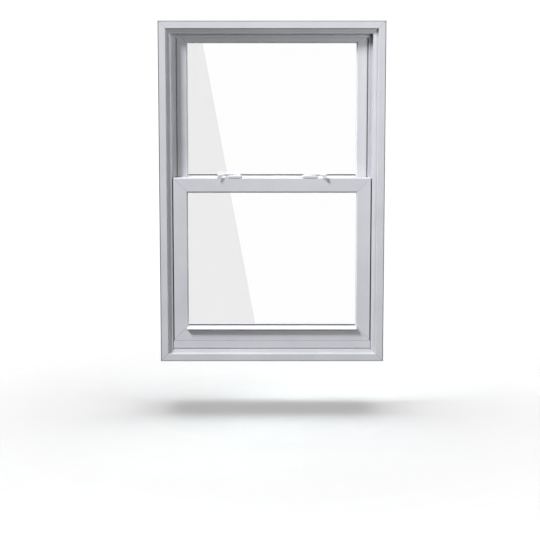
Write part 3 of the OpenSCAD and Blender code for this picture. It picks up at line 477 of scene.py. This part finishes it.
def at_pivot(points, side, turn=0.0):
    """Points in mm round the left pivot, turned about it, put in place; mirrored for the
    right side."""
    x, y, z = np.moveaxis(points, -1, 0)
    x, y = x * math.cos(turn) - y * math.sin(turn), x * math.sin(turn) + y * math.cos(turn)
    x = x if side == "left" else -x
    return np.stack([x, y, z], -1) * MM + pivots[side]


def housing(side):
    """Die-cast housing: each ring lies between the shaft's round hole and the outline, a
    superellipse |x|^5 + |y|^5 = 1, and its height follows the two profiles, outside then
    inside. Behind, the foot is lifted in a smooth step to leave the mouth for the cam."""
    turn = full_turn(HOUSING_AROUND)
    hole = HUB_HOLE * rounded(turn, 2)
    outline = rounded(turn, 5) * [half_long, half_deep] + [0, middle_behind_pivot]
    share, height = np.array(HOUSING_OUTSIDE + HOUSING_INSIDE).T
    flat = hole + share[:, None, None] * (outline - hole)
    from_side = (MOUTH_HALF + MOUTH_STEP / 2 - np.abs(outline[:, 0])) / MOUTH_STEP
    step = np.clip(from_side, 0, 1) * (outline[:, 1] > 0)
    mouth = MOUTH_HIGH * step * step * (3 - 2 * step)
    z = mouth + (HOUSING_TOP - mouth) / HOUSING_TOP * height[:, None]
    return skin(at_pivot(np.concatenate([flat, z[..., None]], -1), side), ends_meet=True)


def lever(side):
    """Cast lever in three skins: the hub, a profile spun about the pivot; the arm, whose
    rounded section |y|^4 + |z|^4 = 1 narrows from hub to tip and closes in a quarter circle;
    and the finger flange, whose lower edge drops towards the tip in a smooth step. At the tip
    the arm keeps 0.4 of its thickness, and the flange 0.3."""
    turn = full_turn(LEVER_AROUND)
    radius, height = np.array(HUB).T
    flat = radius[:, None, None] * rounded(turn, 2)
    rise = np.broadcast_to(height[:, None, None], (*flat.shape[:2], 1))
    hub = np.concatenate([flat, rise], -1)
    square = rounded(turn, 4)
    nose = NOSE_FROM + NOSE_LONG * np.sin(np.linspace(0.1, 1.5, 9))
    along = np.concatenate([np.linspace(0, NOSE_FROM, 24), nose])
    end = np.sqrt(np.clip(1 - ((along - NOSE_FROM) / NOSE_RADIUS).clip(0) ** 2, 0, 1))
    wide = (ARM_ROOT + (ARM_TIP - ARM_ROOT) * along) * end
    x = np.broadcast_to(-ARM_LENGTH * along[:, None], (len(along), LEVER_AROUND))
    y = wide[:, None] * square[:, 0]
    z = ARM_LOW + ARM_THICK / 2 * (1 + square[:, 1] * (0.4 + 0.6 * end[:, None]))
    arm = np.stack([x, y, z], -1)
    step = along * along * (3 - 2 * along)
    foot = ARM_LOW + (FINGER_LOW - ARM_LOW) * step * (0.75 + 0.25 * end)
    top = ARM_LOW + ARM_THICK - 0.15 * (1 + along)
    x = np.broadcast_to(-(FINGER_FROM + (FINGER_TO - FINGER_FROM) * along)[:, None], x.shape)
    y = FINGER_Y + FINGER_THICK / 2 * square[:, 0] * (0.3 + 0.7 * end[:, None])
    z = ((top + foot) / 2)[:, None] + ((top - foot) / 2)[:, None] * square[:, 1]
    finger = np.stack([x, y, z], -1)
    return [skin(at_pivot(rings, side, LEVER_REST)) for rings in (hub, arm, finger)]


for side in sides:
    piece(f"lock_housing_{side}", [housing(side)], enamel, "lower_sash",
          [f"lock_base_{side}"])
    piece(f"lock_handle_{side}", lever(side), enamel, f"lock_{side}",
          [f"lock_lever_{side}"])
dress(enamel, "keeper_left", "keeper_right")
dress(zinc, "lock_cam_left", "lock_cam_right", "keeper_screws")

# ---- Lock screws ----
# Pan-head screws of zinc-plated steel, cross-recessed, two through each lock housing into the
# meeting rail.

# In mm; SCREW_OUT is from the pivot to each screw
HEAD_TOP, HEAD_HIGH, HEAD_DOME, SHANK_RADIUS, SHANK_LONG = 10, 1.8, 0.9, 1.7, 10.0
CROSS_HALF, CROSS_REACH, CROSS_DEEP = 0.45, 2.0, 1.0
SCREW_OUT = 23.5
SCREW_AROUND, DOME_RINGS = 64, 20


def screw(side, out):
    """Pan head and shank: a profile spun about the screw. The top, a dome that falls as the
    fourth power of the radius, sinks by CROSS_DEEP inside the four arms of the cross."""
    turn = full_turn(SCREW_AROUND)
    dome_radius = np.linspace(HEAD_RADIUS, 0.15, DOME_RINGS)
    dome = HEAD_TOP - HEAD_DOME * (dome_radius / HEAD_RADIUS) ** 4
    seat = HEAD_TOP - HEAD_HIGH
    radius = np.concatenate([[SHANK_RADIUS, SHANK_RADIUS, HEAD_RADIUS], dome_radius])
    height = np.concatenate([[seat - SHANK_LONG, seat, seat], dome])
    x, y = radius[:, None] * np.cos(turn), radius[:, None] * np.sin(turn)
    near, far = np.minimum(np.abs(x), np.abs(y)), np.maximum(np.abs(x), np.abs(y))
    on_dome = (np.arange(len(radius)) >= len(radius) - DOME_RINGS)[:, None]
    cross = (near < CROSS_HALF) & (far < CROSS_REACH) & on_dome
    z = height[:, None] - CROSS_DEEP * cross
    return skin(at_pivot(np.stack([x + out, y, z], -1), side))


piece("lock_screw_heads", [screw(side, out) for side in sides for out in (-SCREW_OUT, SCREW_OUT)],
      zinc, "lower_sash", ["lock_screws"])

# ---- Tilt latches ----
# Sprung sliders in the top rails' hollow ends, moulded in white trim plastic. A ribbed
# finger grip stands in a slot of each rail's top, to draw the latch back.

GRIP_RIBS = 5
# In mm: how high each sash's grips stand, and their other sizes
GRIP_LIFT = {"lower": 1.9, "upper": 0.9}
GRIP_LONG, GRIP_WIDE, GRIP_SUNK, RIB_DEEP, GRIP_FROM_END = 15.6, 8.0, 1.2, 0.45, 31
GRIP_RINGS, GRIP_AROUND = 61, 24
dress(moulded_trim, *[f"tilt_latch_{corner}" for corner in corners_of_sashes])


def grip(sash, side):
    """Finger grip: a rounded section |y|^4 + |z|^4 = 1 carried along the latch, whose top
    rises and falls in GRIP_RIBS waves and rounds off to nothing at both ends."""
    low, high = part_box(f"tilt_latch_{sash}_{side}")
    along = np.linspace(0, 1, GRIP_RINGS)
    end = (1 - np.abs(2 * along - 1) ** 8) ** 0.5
    rib = 0.5 - 0.5 * np.cos(2 * np.pi * GRIP_RIBS * along)
    top = (GRIP_LIFT[sash] - RIB_DEEP * (1 - rib)) * end
    square = rounded(full_turn(GRIP_AROUND), 4)
    latch_end, outward = (high.x, -1) if side == "left" else (low.x, 1)
    middle_x = latch_end / MM + outward * GRIP_FROM_END
    x = (middle_x + GRIP_LONG * (along - 0.5))[:, None]
    x = np.broadcast_to(x, (GRIP_RINGS, GRIP_AROUND))
    y = (low.y + high.y) / 2 / MM + GRIP_WIDE / 2 * square[:, 0] * (0.6 + 0.4 * end[:, None])
    z = high.z / MM - GRIP_SUNK + (top + GRIP_SUNK)[:, None] * (square[:, 1] + 1) / 2
    return skin(np.stack([x, y, z], -1) * MM)


for sash in sashes:
    for side in sides:
        piece(f"latch_grip_{sash}_{side}", [grip(sash, side)], moulded_trim,
              f"latch_{sash}_{side}")

# ---- Stage, lights and camera ----
# A pale floor a little below the window, which hangs clear of it, soft lamps from the upper
# left, a wide one over the floor, and a dark card that only the glass mirrors.

FLOOR_DROP, FLOOR_HALF = 0.18, 6.0
FLOOR_FADE, FLOOR_END = 0.5, 1.5
CAMERA = (0.0, -4.4567, 1.0039)
CAMERA_PITCH, LENS, SHIFT = 6.682, 83.33, (-0.0037, -0.0796)


def stage_sheet(name, corners, material):
    """A flat sheet of the stage between four corners."""
    mesh = bpy.data.meshes.new(name)
    mesh.from_pydata(corners, [], [(0, 1, 2, 3)])
    mesh.materials.append(material)
    sheet = bpy.data.objects.new(name, mesh)
    bpy.context.scene.collection.objects.link(sheet)
    return sheet


# Matt paint that fades out with distance, so that the floor has no edge.
floor_paint, floor_tree, floor_shader, floor_place = finish(
    "floor_paint", Roughness=0.9, Base_Color=linear("#f7f7f8"), Specular_IOR_Level=0.0)
from_middle = add(floor_tree, "VectorMath", [floor_place], "Value", operation="LENGTH")
fade = add(floor_tree, "MapRange", [from_middle, FLOOR_FADE, FLOOR_END])
faded = add(floor_tree, "MixShader", [fade, floor_shader.outputs[0],
                                      add(floor_tree, "BsdfTransparent")])
floor_tree.links.new(faded, floor_tree.nodes["Material Output"].inputs["Surface"])
floor = stage_sheet("floor", [(x * FLOOR_HALF, y * FLOOR_HALF, -FLOOR_DROP)
                              for x, y in ((-1, -1), (1, -1), (1, 1), (-1, 1))], floor_paint)
# The floor throws no light back up, so that the undersides of the bars stay in shade.
floor.visible_diffuse = False

# The card's slanted edge, mirrored in the glass, runs from near the top left corner of the
# upper pane to left of the middle of the lower one.
card_paint, card_tree, card_shader, _ = finish(
    "card_paint", Roughness=1.0, Base_Color=linear("#000000"), Specular_IOR_Level=0.0)
mirror_count = add(card_tree, "LightPath", out="Glossy Depth")
mirrored_once = add(card_tree, "Math", [mirror_count, 0.5], operation="GREATER_THAN")
card_seen = add(card_tree, "MixShader", [mirrored_once, add(card_tree, "BsdfTransparent"),
                                         card_shader.outputs[0]])
card_tree.links.new(card_seen, card_tree.nodes["Material Output"].inputs["Surface"])
CARD_Y, EDGE_TOP, EDGE_FOOT = -3.0, (-0.245, 1.13), (-0.060, 0.13)
CARD_LOW, CARD_HIGH, CARD_SIDE = -3.0, 5.0, -5.0


def mirrored(point):
    """Where the line from the camera to a point of the glass goes on, once mirrored."""
    share = CARD_Y / CAMERA[1]
    return [p + (p - c) * share for p, c in zip(point, (CAMERA[0], CAMERA[2]))]


(top_x, top_z), (foot_x, foot_z) = mirrored(EDGE_TOP), mirrored(EDGE_FOOT)
lean = (top_x - foot_x) / (top_z - foot_z)
card = stage_sheet("card", [(CARD_SIDE, CARD_Y, CARD_LOW),
                            (foot_x + lean * (CARD_LOW - foot_z), CARD_Y, CARD_LOW),
                            (foot_x + lean * (CARD_HIGH - foot_z), CARD_Y, CARD_HIGH),
                            (CARD_SIDE, CARD_Y, CARD_HIGH)], card_paint)
for use in ("camera", "diffuse", "shadow", "volume_scatter"):
    setattr(card, "visible_" + use, False)


def lamp(name, place, aim, size, watts, floor_state, tint="#ffffff"):
    """A square soft lamp, out of the camera's sight, that lights only the floor (INCLUDE) or
    everything else (EXCLUDE)."""
    data = bpy.data.lights.new(name, "AREA")
    data.shape, data.size, data.energy, data.color = "SQUARE", size, watts, linear(tint)[:3]
    light = bpy.data.objects.new(name, data)
    light.location = place
    light.rotation_euler = (Vector(aim) - Vector(place)).to_track_quat("-Z", "Y").to_euler()
    light.visible_camera = light.visible_transmission = False
    bpy.context.scene.collection.objects.link(light)
    lit = bpy.data.collections.new(name + "_lights")
    lit.objects.link(floor)
    lit.collection_objects[0].light_linking.link_state = floor_state
    light.light_linking.receiver_collection = lit


middle = (frame_low + frame_high) / 2
lamp("key", (-4.3, -3.4, 6.2), middle, 1.9, 840, "EXCLUDE", "#fdfdff")
lamp("side", (2.2, -3.8, 1.6), middle, 1.6, 72, "EXCLUDE")
lamp("rear", (1.8, 3.6, 3.0), middle, 1.6, 120, "EXCLUDE")
lamp("floor_wash", (0.0, 0.2, 4.2), (0, 0.2, 0), 4.5, 244, "INCLUDE")

# The studio is white to the eye, through the glass and in reflections, and lights next to
# nothing by itself.
WORLD_SEEN, WORLD_FILL = 1.06, 0.01
world = bpy.data.worlds.new("studio_white")
world.use_nodes = True
sky = world.node_tree
sky.nodes.clear()
seen = 0.0
for ray in ("Is Camera Ray", "Is Transmission Ray", "Is Glossy Ray"):
    seen = add(sky, "Math", [seen, add(sky, "LightPath", out=ray)], operation="MAXIMUM")
strength = add(sky, "MapRange", [seen, 0.0, 1.0, WORLD_FILL, WORLD_SEEN])
add(sky, "OutputWorld", [add(sky, "Background", [linear("#ffffff"), strength])])
bpy.context.scene.world = world
bpy.context.scene.view_settings.view_transform = "Standard"

camera_data = bpy.data.cameras.new("camera")
camera_data.lens = LENS
camera_data.shift_x, camera_data.shift_y = SHIFT
camera = bpy.data.objects.new("camera", camera_data)
camera.location = CAMERA
camera.rotation_euler = (math.radians(90 - CAMERA_PITCH), 0, 0)
bpy.context.scene.collection.objects.link(camera)
bpy.context.scene.camera = camera
